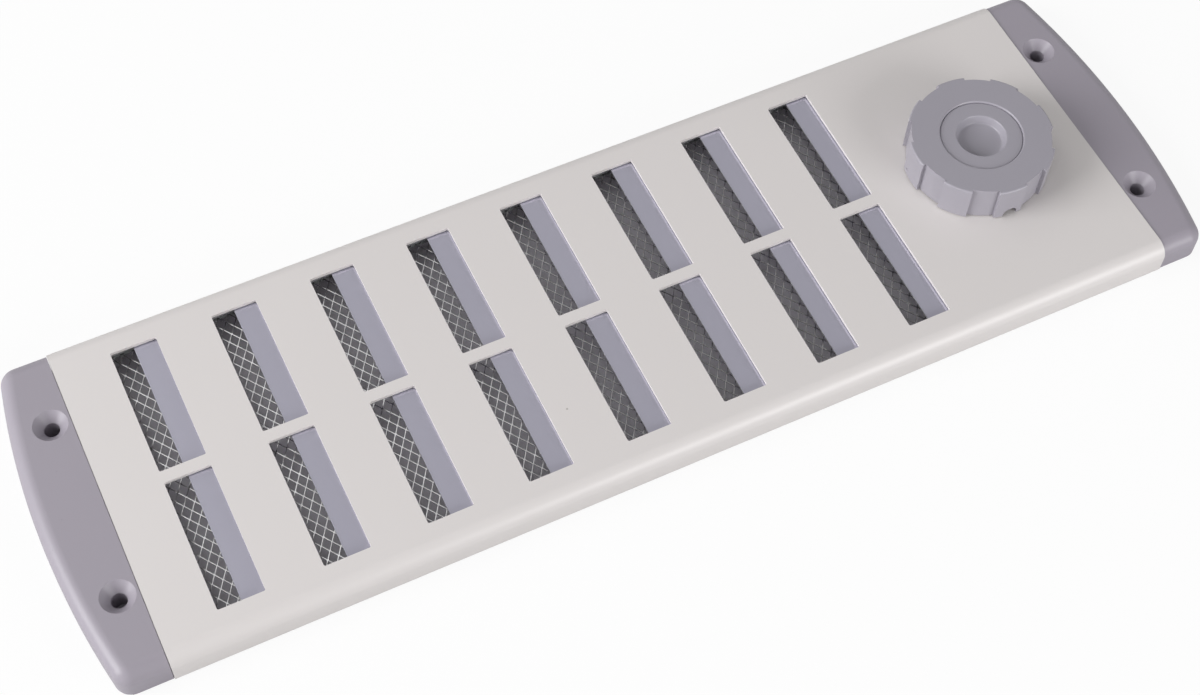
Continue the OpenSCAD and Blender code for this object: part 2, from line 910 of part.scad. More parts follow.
module pinion_outline() {
    base = gear_radius * cos(pressure_angle);
    root = gear_radius - dedendum;
    half_tooth = 90 / pinion_teeth - backlash / 4 / gear_radius * 180 / PI;
    half_angle = half_tooth + involute_angle(base, gear_radius);
    side = flank(half_angle, base, root, gear_tip, 5);
    step = 360 / pinion_teeth;
    polygon([
        for (tooth = [0 : pinion_teeth - 1])
            let (middle = tooth * step)
            each concat(
                [polar(root, middle - half_angle)],
                [for (p = side) polar(p[0], middle - p[1])],
                [for (i = [len(side) - 1 : -1 : 0]) polar(side[i][0], middle + side[i][1])],
                [polar(root, middle + half_angle)]
            )
    ]);
}

module pinion_gear() {
    step = 360 / pinion_teeth;
    color("#E8E6E0")
    translate([knob_x, 0, 0])
        difference() {
            union() {
                translate([0, 0, pinion_bottom])
                    rotate(step / 2 - 90)
                        linear_extrude(pinion_face_top - pinion_bottom)
                            pinion_outline();
                translate([0, 0, pinion_bottom])
                    cylinder(r = pinion_hub_radius, h = pinion_top - pinion_bottom);
            }
            translate([0, 0, pinion_bottom - cut])
                linear_extrude(knob_top)
                    flatted(shaft_radius + fit, shaft_flats + 2 * fit);
        }
}

// Coned spring washer between the pinion and the upper bush
module disc_spring() {
    inner = shaft_radius + spring_bore_gap;
    outer = pinion_hub_radius - spring_rim_gap;
    rise = spring_height - spring_sheet;
    color("#B9BBBE")
    translate([knob_x, 0, pinion_top])
        rotate_extrude()
            polygon([[inner, rise], [outer, 0], [outer, spring_sheet], [inner, rise + spring_sheet]]);
}

module retaining_clip() {
    color("#B9BBBE")
    translate([knob_x, 0, clip_z])
        linear_extrude(clip_thickness)
            difference() {
                circle(clip_groove_radius + clip_width);
                circle(clip_groove_radius);
                translate([0, -clip_groove_radius * clip_mouth])
                    square([2 * shaft_radius, 2 * clip_groove_radius * clip_mouth]);
                for (turn = [-clip_ear_angle, clip_ear_angle])
                    rotate(turn)
                        translate([clip_groove_radius + clip_width / 2, 0])
                            circle(clip_width / 4);
            }
}

// Half section of the knob: skirt, face, well wall, web and hub
module knob_section() {
    translate([0, web_bottom])
        square([well_radius + well_wall, web_height]);
    translate([well_radius, web_bottom])
        square([well_wall, insert_seat - web_bottom]);
    translate([insert_radius + insert_gap, insert_seat - knob_wall])
        square([knob_radius - grip_edge - insert_radius - insert_gap, knob_top - insert_seat + knob_wall]);
    translate([knob_radius - notch_depth - knob_wall, knob_bottom])
        square([notch_depth + knob_wall, knob_height - grip_edge]);
    translate([knob_radius - grip_edge, knob_top - grip_edge])
        circle(grip_edge, $fn = 32);
    translate([0, hub_bottom])
        square([hub_radius, web_bottom - hub_bottom]);
}

module knob() {
    color("#98959E")
    translate([knob_x, 0, 0])
        difference() {
            union() {
                rotate_extrude()
                    knob_section();
                for (turn = [0 : 360 / knob_notches : 359])
                    rotate(turn)
                        block(
                            [well_radius + knob_rib_inset, -knob_rib / 2, web_bottom],
                            [knob_radius - notch_depth - knob_rib_inset, knob_rib / 2, insert_seat]
                        );
            }
            translate([0, 0, hub_bottom - cut])
                linear_extrude(shaft_top - hub_bottom + cut + end_play)
                    flatted(shaft_radius + fit, shaft_flats + 2 * fit);
            cylinder(r = knob_screw_radius + screw_hole_gap, h = knob_top);
            translate([0, 0, knob_bottom - cut])
                linear_extrude(knob_height + 2 * cut)
                    grip_notches();
            rotate(arch_angle)
                translate([knob_radius / 2, 0, knob_bottom + arch_rise])
                    rotate([0, 90, 0])
                        cylinder(r = arch_radius, h = knob_radius);
        }
}

// Ring sectors cut from the knob between its grip lands
module grip_notches() {
    notch_angle = 360 / knob_notches - land_angle;
    outside = knob_radius + 3 * cut;
    for (i = [0 : knob_notches - 1])
        rotate(land_phase + (i + 0.5) * 360 / knob_notches)
            difference() {
                polygon([
                    [0, 0],
                    polar(outside, -notch_angle / 2),
                    [outside, 0],
                    polar(outside, notch_angle / 2)
                ]);
                circle(knob_radius - notch_depth);
            }
}

// Insert that closes the knob, with a sloping wall and a hollow floor
module knob_cap() {
    rim = dish_diameter / 2;
    foot = rim - dish_wall_run;
    side_depth = dish_depth - dish_hollow;
    bowl_radius = (foot * foot + dish_hollow * dish_hollow) / (2 * dish_hollow);
    color("#98959E")
    translate([knob_x, 0, 0])
        rotate_extrude()
            difference() {
                union() {
                    translate([0, insert_seat])
                        square([insert_radius, insert_thickness]);
                    translate([0, insert_top - dish_depth - dish_floor])
                        square([rim + dish_floor, dish_depth + dish_floor]);
                    translate([well_radius - hook_inset, insert_seat - hook_depth])
                        square([hook_width, hook_depth + insert_thickness / 2]);
                }
                polygon([
                    [-cut, insert_top + cut],
                    [rim + cut, insert_top + cut],
                    [rim, insert_top],
                    [rim - dish_rim_edge, insert_top - dish_rim_edge],
                    [foot, insert_top - side_depth],
                    [-cut, insert_top - side_depth]
                ]);
                intersection() {
                    translate([0, insert_top - dish_depth + bowl_radius])
                        circle(bowl_radius, $fn = 128);
                    translate([-cut, insert_top - dish_depth - cut])
                        square([foot + cut, dish_hollow + cut]);
                }
                translate([-knob_radius, 0])
                    square([knob_radius, 2 * knob_top]);
            }
}

module knob_screw() {
    head_z = web_top + washer_height;
    head_top = head_z + knob_screw_head_height;
    color("#B9BBBE")
    translate([knob_x, 0, 0])
        difference() {
            union() {
                translate([0, 0, hub_bottom + knob_screw_tip])
                    cylinder(r = knob_screw_radius - fit, h = head_z - hub_bottom - knob_screw_tip);
                translate([0, 0, head_z])
                    cylinder(r = knob_screw_head_radius, h = knob_screw_head_height);
            }
            for (turn = [0, 90])
                rotate(turn)
                    translate([-knob_cross / 2, -knob_cross / 10, head_top - knob_cross_depth])
                        cube([knob_cross, knob_cross / 5, knob_cross_depth + cut]);
        }
}

module screw_washer() {
    color("#B9BBBE")
    translate([knob_x, 0, web_top])
        difference() {
            cylinder(r = knob_screw_head_radius + washer_rim, h = washer_height);
            translate([0, 0, -cut])
                cylinder(r = knob_screw_radius + washer_hole_gap, h = washer_height + 2 * cut);
        }
}

cover();
left_end_cap();
right_end_cap();
mesh_frame();
wire_mesh();
bearing_bridge();
upper_bush();
lower_bush();
retaining_screws();
shutter_plate();
shutter_glides();
rack();
rack_rivets();
drive_shaft();
pinion_gear();
disc_spring();
retaining_clip();
knob();
knob_cap();
knob_screw();
screw_washer();
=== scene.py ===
import math

import bpy
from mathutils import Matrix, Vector


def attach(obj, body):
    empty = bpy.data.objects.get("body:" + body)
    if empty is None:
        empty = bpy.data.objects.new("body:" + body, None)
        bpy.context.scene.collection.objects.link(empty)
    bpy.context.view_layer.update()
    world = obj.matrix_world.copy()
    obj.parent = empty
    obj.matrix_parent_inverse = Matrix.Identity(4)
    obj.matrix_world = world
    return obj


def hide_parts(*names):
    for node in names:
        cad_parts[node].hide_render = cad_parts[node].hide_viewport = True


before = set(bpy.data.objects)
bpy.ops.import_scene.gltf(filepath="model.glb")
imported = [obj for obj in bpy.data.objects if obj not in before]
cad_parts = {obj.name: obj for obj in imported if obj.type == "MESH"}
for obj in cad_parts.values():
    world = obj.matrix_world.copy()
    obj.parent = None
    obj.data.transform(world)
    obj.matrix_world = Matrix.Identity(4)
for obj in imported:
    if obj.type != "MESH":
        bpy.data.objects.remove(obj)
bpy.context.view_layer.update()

# Table, light and camera: the grille lies on a white table in a light tent, back side down.
# A large soft lamp at the left throws the knob's shadow to the right, a second one in front
# fills the near sides, and a third hangs behind, where the screen's left half mirrors it.
TABLE_SIZE = 6.0
TABLE_DROP = 0.0002
TABLE_WHITE = (0.86, 0.86, 0.86, 1)
TABLE_BOUNCE = (0.62, 0.62, 0.62, 1)
# The table under the grille's footprint gets a darker grey-lilac colour and no glow: painted shade for the
# dim floor seen through the screen.
TABLE_PAINTED_SHADE = (0.76, 0.73, 0.78, 1)
TABLE_GLOW_SHARE = 0.9
HIDDEN_HALF_LENGTH = 0.166
HIDDEN_HALF_WIDTH = 0.052
TENT_TOP = 0.252
TENT_SIDE = 0.42
TENT_FALL = 0.46
KEY_PLACE = Vector((-1.46, 0.19, 0.72))
KEY_SIZE = 1.0
KEY_POWER = 24.2
FILL_PLACE = Vector((0.45, -0.92, 0.34))
FILL_SIZE = 0.6
FILL_POWER = 5.9
BACK_PLACE = Vector((-0.31, 0.70, 1.04))
BACK_WIDTH = 0.37
BACK_DEPTH = 1.15
BACK_POWER = 1.25
CAMERA_PLACE = (-0.15803, -0.28687, 0.50988)
CAMERA_TURN = (31.830, -1.422, -25.721)
CAMERA_LENS = 62.2
CAMERA_SENSOR = 36
CAMERA_NEAR = 0.01


class Maths:
    """Wraps a number socket, so that shader maths is written as arithmetic."""

    def __init__(self, shade, socket):
        self.shade = shade
        self.socket = socket

    def both(self, operation, first, second):
        node = self.shade.node("ShaderNodeMath", {"operation": operation}, {0: first, 1: second})
        return Maths(self.shade, node.outputs[0])

    def __add__(self, other):
        return self.both("ADD", self, other)

    def __radd__(self, other):
        return self.both("ADD", other, self)

    def __sub__(self, other):
        return self.both("SUBTRACT", self, other)

    def __rsub__(self, other):
        return self.both("SUBTRACT", other, self)

    def __mul__(self, other):
        return self.both("MULTIPLY", self, other)

    def __rmul__(self, other):
        return self.both("MULTIPLY", other, self)

    def __gt__(self, other):
        return self.both("GREATER_THAN", self, other)

    def __lt__(self, other):
        return self.both("LESS_THAN", self, other)

    def __abs__(self):
        return self.both("ABSOLUTE", self, 0.0)


class Shade:
    """One node tree, with one method that makes any node and fills its inputs."""

    def __init__(self, tree):
        self.tree = tree
        tree.nodes.clear()

    def node(self, kind, settings=None, inputs=None):
        made = self.tree.nodes.new(kind)
        for name, value in (settings or {}).items():
            setattr(made, name, value)
        for name, value in (inputs or {}).items():
            if isinstance(value, Maths):
                value = value.socket
            if isinstance(value, bpy.types.NodeSocket):
                self.tree.links.new(value, made.inputs[name])
            else:
                made.inputs[name].default_value = value
        return made

    def number(self, node, output):
        return Maths(self, node.outputs[output])


def new_shade(owner, name):
    """A new material or world with an empty node tree."""
    made = owner.new(name)
    made.use_nodes = True
    return made, Shade(made.node_tree)


def blend(shade, factor, first, second):
    """Goes from one colour to another by a factor."""
    mix = shade.node(
        "ShaderNodeMix", {"data_type": "RGBA"}, {"Factor": factor, 6: first, 7: second}
    )
    return mix.outputs[2]


def add_lamp(name, place, size, power):
    """A square soft lamp that looks at the middle of the grille."""
    bpy.ops.object.light_add(type="AREA", location=place)
    lamp = bpy.context.object
    lamp.name = name
    lamp.data.size = size
    lamp.data.energy = power
    lamp.rotation_euler = (-place).to_track_quat("-Z", "Y").to_euler()
    return lamp


bpy.ops.object.select_all(action="DESELECT")
bpy.ops.mesh.primitive_plane_add(size=TABLE_SIZE, location=(0, 0, -TABLE_DROP))
table = bpy.context.object
table.name = "table"
bpy.ops.object.transform_apply(location=True, rotation=True, scale=True)

table_white, shade = new_shade(bpy.data.materials, "table_white")
place = shade.node("ShaderNodeTexCoord").outputs["Object"]
spot = shade.node("ShaderNodeSeparateXYZ", {}, {0: place})
beside_x = abs(shade.number(spot, "X")) > HIDDEN_HALF_LENGTH
beside_y = abs(shade.number(spot, "Y")) > HIDDEN_HALF_WIDTH
beside = beside_x.both("MAXIMUM", beside_x, beside_y)
seen = shade.number(shade.node("ShaderNodeLightPath"), "Is Camera Ray")
share = seen * beside * TABLE_GLOW_SHARE
outside = blend(shade, seen, TABLE_BOUNCE, TABLE_WHITE)
# Inside the grille's footprint the table takes its painted-shade colour.
colour = blend(shade, beside, TABLE_PAINTED_SHADE, outside)
matt = shade.node("ShaderNodeBsdfDiffuse", {}, {"Color": colour})
glow = shade.node("ShaderNodeEmission", {}, {"Color": (1, 1, 1, 1), "Strength": 1.0})
mix = shade.node("ShaderNodeMixShader", {}, {0: share, 1: matt.outputs[0], 2: glow.outputs[0]})
shade.node("ShaderNodeOutputMaterial", {}, {"Surface": mix.outputs[0]})
table.data.materials.append(table_white)

tent, shade = new_shade(bpy.data.worlds, "light_tent")
seen = shade.number(shade.node("ShaderNodeLightPath"), "Is Camera Ray")
direction = shade.node("ShaderNodeTexCoord").outputs["Generated"]
aim = shade.node("ShaderNodeSeparateXYZ", {}, {0: direction})
height = abs(shade.number(aim, "Z"))
tent_level = TENT_TOP + TENT_SIDE * (1 - height) - TENT_FALL * shade.number(aim, "X") * height
level = tent_level + (1 - tent_level) * seen
glow = shade.node("ShaderNodeBackground", {}, {"Color": (1, 1, 1, 1), "Strength": level})
shade.node("ShaderNodeOutputWorld", {}, {"Surface": glow.outputs[0]})
bpy.context.scene.world = tent

add_lamp("key_lamp", KEY_PLACE, KEY_SIZE, KEY_POWER)
add_lamp("fill_lamp", FILL_PLACE, FILL_SIZE, FILL_POWER)
back_lamp = add_lamp("back_lamp", BACK_PLACE, BACK_WIDTH, BACK_POWER)
back_lamp.data.shape = "RECTANGLE"
back_lamp.data.size_y = BACK_DEPTH
back_lamp.rotation_euler = (0, 0, 0)

bpy.ops.object.camera_add(location=CAMERA_PLACE)
camera = bpy.context.object
camera.name = "camera"
camera.rotation_euler = [math.radians(angle) for angle in CAMERA_TURN]
camera.data.lens = CAMERA_LENS
camera.data.sensor_width = CAMERA_SENSOR
camera.data.clip_start = CAMERA_NEAR
bpy.context.scene.camera = camera
bpy.context.scene.view_settings.view_transform = "Standard"

# Cover: a channel of aluminium, drawn in one length with a ledge inside each long wall.
# The sixteen slots and the hole for the knob's bush are punched, and then it is powder coated.
# The coat is a warm white with a very fine orange peel, and rounds every cut edge a little.
MM = 0.001
COVER_HALF_LENGTH = 154.6
COVER_HALF_WIDTH = 52.5
COVER_TOP = 10.0
COVER_WALL = 1.8
COVER_WEB = 1.0
COVER_RADIUS = 4.5
COVER_INNER_RADIUS = 2.0
COVER_INNER_START = 12
LEDGE_LOW = 5.6
LEDGE_HIGH = 7.4
LEDGE_EDGE = 45.8
SLOT_CORNER = 0.5
SLOT_COLUMNS = 8
SLOT_PITCH = 30.0
SLOT_WIDTH = 13.5
SLOT_LENGTH = 41.5
ROW_BRIDGE = 3.8
FIRST_SLOT = -138.25
KNOB_X = 119.7
BUSH_HOLE_RADIUS = 6.08
COAT_EDGE = 0.35
OVERRUN = 3.0
SLOT_STEPS = 4
COVER_WHITE = (0.700, 0.668, 0.660, 1)
COVER_WHITE_THIN = (0.684, 0.652, 0.643, 1)
SPECK_BROWN = (0.30, 0.27, 0.24, 1)
COAT_SPECKS = ((-29.2, -26.9), (141.2, -5.8))
COAT_SPECK_RADIUS = 0.3
COAT_SPECK_DEPTH = 0.6
COAT_DUST_CELLS = 24
COAT_DUST_SIZE = 0.0085
COAT_DUST_DEPTH = 0.55
COAT_CLOUDS = 14
COAT_PEEL = 700
COAT_GRAIN = 3500
COAT_GRAIN_SHARE = 0.2
COAT_RELIEF = 0.10
COAT_RELIEF_HEIGHT = 0.00006
COAT_ROUGHNESS = 0.28
COAT_ROUGH_CLOUDS = 0.08
COAT_ROUGH_GRAIN = 0.06


def alone(piece):
    """Selects one piece and nothing else."""
    bpy.ops.object.select_all(action="DESELECT")
    piece.select_set(True)
    bpy.context.view_layer.objects.active = piece


def edit(piece):
    """Opens one piece in edit mode with all of it selected."""
    alone(piece)
    bpy.ops.object.mode_set(mode="EDIT")
    bpy.ops.mesh.select_all(action="SELECT")


def leave():
    """Goes back to object mode."""
    bpy.ops.object.mode_set(mode="OBJECT")


def box(name, low, high):
    """A box between two corners in millimetres."""
    low = Vector(low) * MM
    high = Vector(high) * MM
    bpy.ops.object.select_all(action="DESELECT")
    bpy.ops.mesh.primitive_cube_add(size=1, location=(low + high) / 2)
    piece = bpy.context.object
    piece.name = name
    piece.scale = high - low
    bpy.ops.object.transform_apply(location=True, rotation=True, scale=True)
    return piece


def cone(name, centre, low, high, low_radius, high_radius, sides=64):
    """An upright cylinder or cone between two heights in millimetres."""
    bpy.ops.object.select_all(action="DESELECT")
    bpy.ops.mesh.primitive_cone_add(
        vertices=sides,
        radius1=low_radius * MM,
        radius2=high_radius * MM,
        depth=(high - low) * MM,
        location=Vector((centre[0], centre[1], (low + high) / 2)) * MM,
    )
    piece = bpy.context.object
    piece.name = name
    bpy.ops.object.transform_apply(location=True, rotation=True, scale=True)
    return piece


def trace(name, points):
    """A line of edges through points in millimetres, drawn one vertex after the other."""
    bpy.ops.object.select_all(action="DESELECT")
    bpy.ops.mesh.primitive_plane_add(size=MM)
    piece = bpy.context.object
    piece.name = name
    edit(piece)
    bpy.ops.mesh.merge(type="CENTER")
    bpy.ops.transform.translate(value=Vector(points[0]) * MM)
    for last, point in zip(points, points[1:]):
        step = (Vector(point) - Vector(last)) * MM
        bpy.ops.mesh.extrude_region_move(TRANSFORM_OT_translate={"value": step})
    leave()
    return piece


def prism(name, points, step):
    """A closed outline drawn through points, filled and pulled along step."""
    piece = trace(name, points)
    edit(piece)
    bpy.ops.mesh.edge_face_add()
    bpy.ops.mesh.extrude_region_move(TRANSFORM_OT_translate={"value": Vector(step) * MM})
    bpy.ops.mesh.select_all(action="SELECT")
    bpy.ops.mesh.normals_make_consistent(inside=False)
    leave()
    return piece


def apply_modifier(piece, kind, **settings):
    """Adds one modifier to a piece and applies it."""
    alone(piece)
    modifier = piece.modifiers.new(kind.lower(), kind)
    for name, value in settings.items():
        setattr(modifier, name, value)
    bpy.ops.object.modifier_apply(modifier=modifier.name)


def join(name, pieces):
    """Joins pieces into one mesh."""
    alone(pieces[0])
    for piece in pieces[1:]:
        piece.select_set(True)
    if len(pieces) > 1:
        bpy.ops.object.join()
    pieces[0].name = name
    return pieces[0]


def combine(piece, tool, operation="DIFFERENCE"):
    """Cuts a tool out of a piece or adds it, and removes the tool."""
    apply_modifier(piece, "BOOLEAN", operation=operation, object=tool, solver="EXACT")
    bpy.data.objects.remove(tool)


def soften(piece, width, segments=3, angle=40):
    """Rounds every edge that is sharper than angle."""
    apply_modifier(
        piece, "BEVEL", width=width * MM, segments=segments, limit_method="ANGLE",
        angle_limit=math.radians(angle), miter_outer="MITER_ARC",
    )


def smooth(piece, angle=30):
    """Smooth shading between faces that meet at less than angle, with flat faces kept flat."""
    alone(piece)
    bpy.ops.object.shade_smooth_by_angle(angle=math.radians(angle))
    apply_modifier(piece, "WEIGHTED_NORMAL", keep_sharp=True, weight=100)


def arc(centre, radius, start, end, steps):
    """Points along an arc, as pairs."""
    return [
        (
            centre[0] + radius * math.cos(math.radians(start + (end - start) * i / steps)),
            centre[1] + radius * math.sin(math.radians(start + (end - start) * i / steps)),
        )
        for i in range(steps + 1)
    ]


def slot_punches(first_column, shift, extra, low, high):
    """Punches with round corners for the two rows of slots, from one column on."""
    punches = []
    for column in range(first_column, SLOT_COLUMNS):
        left = FIRST_SLOT + column * SLOT_PITCH - shift + SLOT_CORNER
        right = left + SLOT_WIDTH - 2 * SLOT_CORNER
        inner = ROW_BRIDGE / 2 - extra
        outer = ROW_BRIDGE / 2 + SLOT_LENGTH + extra
        for side in (-1, 1):
            ends = sorted((side * inner, side * outer))
            near, far = ends[0] + SLOT_CORNER, ends[1] - SLOT_CORNER
            plan = []
            corners = ((right, far), (left, far), (left, near), (right, near))
            for quarter, corner in enumerate(corners):
                plan += arc(corner, SLOT_CORNER, quarter * 90, quarter * 90 + 90, SLOT_STEPS)
            punches.append(prism("slot", [(x, y, low) for x, y in plan], (0, 0, high - low)))
    return join("slots", punches)


def finish_piece(piece, material, slot, body, *nodes):
    """Dresses a piece with its material, hides the CAD nodes it stands for and hangs it on the body it
    rides on. The slot, its finish's name, is not used.
    """
    piece.data.materials.clear()
    piece.data.materials.append(material)
    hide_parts(*nodes)
    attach(piece, body)


def noise(shade, place, scale, detail, roughness=0.5):
    """A soft random pattern, as a number."""
    inputs = {"Vector": place, "Scale": scale, "Detail": detail, "Roughness": roughness}
    return shade.number(shade.node("ShaderNodeTexNoise", {}, inputs), "Fac")


def specks(shade, place, cells, size):
    """One dot of a size in each of many random cells, as a mask."""
    inputs = {"Vector": place, "Scale": cells, "Randomness": 1}
    cell = shade.node("ShaderNodeTexVoronoi", {"feature": "F1"}, inputs)
    return shade.number(cell, "Distance") < size


def relief(shade, height, strength, depth):
    """A normal that stands for fine relief."""
    inputs = {"Strength": strength, "Distance": depth, "Height": height}
    return shade.node("ShaderNodeBump", {}, inputs).outputs[0]


def close_shade(shade, inputs):
    """Ends a material with its surface and output."""
    surface = shade.node("ShaderNodeBsdfPrincipled", {}, inputs)
    shade.node("ShaderNodeOutputMaterial", {}, {"Surface": surface.outputs[0]})


inner_wall = COVER_HALF_WIDTH - COVER_WALL
cover_under = COVER_TOP - COVER_WEB
inner_middle = (inner_wall - COVER_INNER_RADIUS, cover_under - COVER_INNER_RADIUS)
corner_middle = (COVER_HALF_WIDTH - COVER_RADIUS, COVER_TOP - COVER_RADIUS)
half_section = arc(corner_middle, COVER_RADIUS, 90, 0, steps=12) + [
    (COVER_HALF_WIDTH, 0),
    (inner_wall, 0),
    (inner_wall, LEDGE_LOW),
    (LEDGE_EDGE, LEDGE_LOW),
    (LEDGE_EDGE, LEDGE_HIGH),
    (inner_wall, LEDGE_HIGH),
] + arc(inner_middle, COVER_INNER_RADIUS, COVER_INNER_START, 90, steps=6)
section = half_section + [(-y, z) for y, z in reversed(half_section)]
profile = [(-COVER_HALF_LENGTH, y, z) for y, z in section]
cover = prism("cover_channel", profile, (2 * COVER_HALF_LENGTH, 0, 0))
combine(cover, slot_punches(0, 0, 0, cover_under - OVERRUN / 2, COVER_TOP + OVERRUN))
punch_low, punch_high = cover_under - OVERRUN, COVER_TOP + OVERRUN
combine(cover, cone("bush_hole", (KNOB_X, 0), punch_low, punch_high, BUSH_HOLE_RADIUS, BUSH_HOLE_RADIUS))
soften(cover, COAT_EDGE)
smooth(cover)

cover_coat, shade = new_shade(bpy.data.materials, "cover_coat")
place = shade.node("ShaderNodeTexCoord").outputs["Object"]
cloud = noise(shade, place, COAT_CLOUDS, detail=3)
peel = noise(shade, place, COAT_PEEL, detail=2)
grain = noise(shade, place, COAT_GRAIN, detail=1)
dot = specks(shade, place, COAT_DUST_CELLS, COAT_DUST_SIZE) * COAT_DUST_DEPTH
for x, y in COAT_SPECKS:
    spot = (x * MM, y * MM, COVER_TOP * MM)
    away = shade.node("ShaderNodeVectorMath", {"operation": "DISTANCE"}, {0: place, 1: spot})
    dot = dot + (shade.number(away, "Value") < COAT_SPECK_RADIUS * MM) * COAT_SPECK_DEPTH
tone = blend(shade, cloud, COVER_WHITE, COVER_WHITE_THIN)
close_shade(shade, {
    "Base Color": blend(shade, dot, tone, SPECK_BROWN),
    "Roughness": COAT_ROUGHNESS + COAT_ROUGH_CLOUDS * cloud + COAT_ROUGH_GRAIN * grain,
    "Normal": relief(shade, peel + COAT_GRAIN_SHARE * grain, COAT_RELIEF, COAT_RELIEF_HEIGHT),
})
finish_piece(cover, cover_coat, "cover_coat", "housing", "cover")

# Shutter: one sheet of bright grey anodised aluminium, with a window for each slot but the first
# two, which its end clears. It is punched after anodising, so its edges show bare metal. A fork
# at its right passes the knob's gear, and six acetal glides run in the cover's grooves.
SHUTTER_LOW = 7.8
SHUTTER_HIGH = 8.6
SHUTTER_LEFT = -131.5
SHUTTER_RIGHT = 136.82
SHUTTER_HALF_WIDTH = 48.1
SHUTTER_COVER = 6.75
WINDOW_EXTRA = 0.5
FORK_START = 101.35
FORK_HALF_WIDTH = 11.4
GLIDE_LENGTH = 12.0
GLIDE_NOTCH = 1.0
RIVETS = (113.10, 129.44)
RIVET_LINE = -13.25
RIVET_HOLE = 1.78
MARGIN = 1.0
SHUTTER_EDGE = 0.08
SHUTTER_GREY = (0.591, 0.577, 0.681, 1)
SHUTTER_GREY_THIN = (0.568, 0.554, 0.655, 1)
SHEET_METAL = (0.62, 0.62, 0.64, 1)
SHEET_CLOUDS = 20
SHEET_GRAIN = 2600
SHEET_RELIEF = 0.05
SHEET_RELIEF_HEIGHT = 0.00004
SHEET_ROUGHNESS = 0.08
SHEET_ROUGH_CLOUDS = 0.04
SHEET_MIRROR = 0.50
EDGE_MIRROR = 0.80
EDGE_FACING = 0.6
ACETAL_WHITE = (0.80, 0.79, 0.75, 1)
ACETAL_CREAM = (0.72, 0.71, 0.67, 1)
ACETAL_CLOUDS = 120
ACETAL_SKIN = 2400
ACETAL_RELIEF = 0.10
ACETAL_RELIEF_HEIGHT = 0.00004
ACETAL_ROUGHNESS = 0.34
ACETAL_ROUGH_SKIN = 0.12
ACETAL_MILKY = 0.08
ACETAL_MILKY_DEPTH = 0.001

shutter = box(
    "shutter_sheet",
    (SHUTTER_LEFT, -SHUTTER_HALF_WIDTH, SHUTTER_LOW),
    (SHUTTER_RIGHT, SHUTTER_HALF_WIDTH, SHUTTER_HIGH),
)
punch_low, punch_high = SHUTTER_LOW - OVERRUN, SHUTTER_HIGH + OVERRUN
combine(shutter, slot_punches(1, SHUTTER_COVER, WINDOW_EXTRA, punch_low, punch_high))
fork = arc((FORK_START + FORK_HALF_WIDTH, 0), FORK_HALF_WIDTH, 90, 270, steps=32)
fork += [(SHUTTER_RIGHT + OVERRUN, -FORK_HALF_WIDTH), (SHUTTER_RIGHT + OVERRUN, FORK_HALF_WIDTH)]
combine(shutter, prism("fork", [(x, y, punch_low) for x, y in fork], (0, 0, 3 * OVERRUN)))
notches = []
glide_middle = (SHUTTER_LEFT + SHUTTER_RIGHT) / 2
for middle in (SHUTTER_LEFT + GLIDE_LENGTH, glide_middle, SHUTTER_RIGHT - GLIDE_LENGTH):
    for side in (-1, 1):
        notch_end = SHUTTER_HALF_WIDTH - GLIDE_NOTCH
        ends = sorted((side * notch_end, side * (SHUTTER_HALF_WIDTH + OVERRUN)))
        notches.append(
            box(
                "glide_notch",
                (middle - GLIDE_LENGTH / 2, ends[0], punch_low),
                (middle + GLIDE_LENGTH / 2, ends[1], punch_high),
            )
        )
combine(shutter, join("glide_notches", notches))
for x in RIVETS:
    low, high = SHUTTER_LOW - MARGIN, SHUTTER_HIGH + MARGIN
    combine(shutter, cone("rivet_hole", (x, RIVET_LINE), low, high, RIVET_HOLE, RIVET_HOLE, sides=24))
soften(shutter, SHUTTER_EDGE, segments=2, angle=50)
smooth(shutter)

anodised, shade = new_shade(bpy.data.materials, "shutter_sheet")
place = shade.node("ShaderNodeTexCoord").outputs["Object"]
cloud = noise(shade, place, SHEET_CLOUDS, detail=3)
grain = noise(shade, place, SHEET_GRAIN, detail=1)
normal = shade.node("ShaderNodeNewGeometry").outputs["True Normal"]
facing = shade.node("ShaderNodeSeparateXYZ", {}, {0: normal})
cut_edge = abs(shade.number(facing, "Z")) < EDGE_FACING
tone = blend(shade, cloud, SHUTTER_GREY, SHUTTER_GREY_THIN)
close_shade(shade, {
    "Base Color": blend(shade, cut_edge, tone, SHEET_METAL),
    "Roughness": SHEET_ROUGHNESS + SHEET_ROUGH_CLOUDS * cloud,
    "Metallic": SHEET_MIRROR + (EDGE_MIRROR - SHEET_MIRROR) * cut_edge,
    "Normal": relief(shade, grain, SHEET_RELIEF, SHEET_RELIEF_HEIGHT),
})
finish_piece(shutter, anodised, "shutter_sheet", "shutter", "shutter_plate")

acetal, shade = new_shade(bpy.data.materials, "acetal")
place = shade.node("ShaderNodeTexCoord").outputs["Object"]
cloud = noise(shade, place, ACETAL_CLOUDS, detail=2)
skin = noise(shade, place, ACETAL_SKIN, detail=2)
close_shade(shade, {
    "Base Color": blend(shade, cloud, ACETAL_WHITE, ACETAL_CREAM),
    "Roughness": ACETAL_ROUGHNESS + ACETAL_ROUGH_SKIN * skin,
    "Normal": relief(shade, skin, ACETAL_RELIEF, ACETAL_RELIEF_HEIGHT),
    "Subsurface Weight": ACETAL_MILKY,
    "Subsurface Scale": ACETAL_MILKY_DEPTH,
})


def dress(material, *nodes):
    """Gives CAD nodes that keep their shape their material."""
    for node in nodes:
        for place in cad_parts[node].material_slots:
            place.material = material


dress(acetal, "shutter_glides")

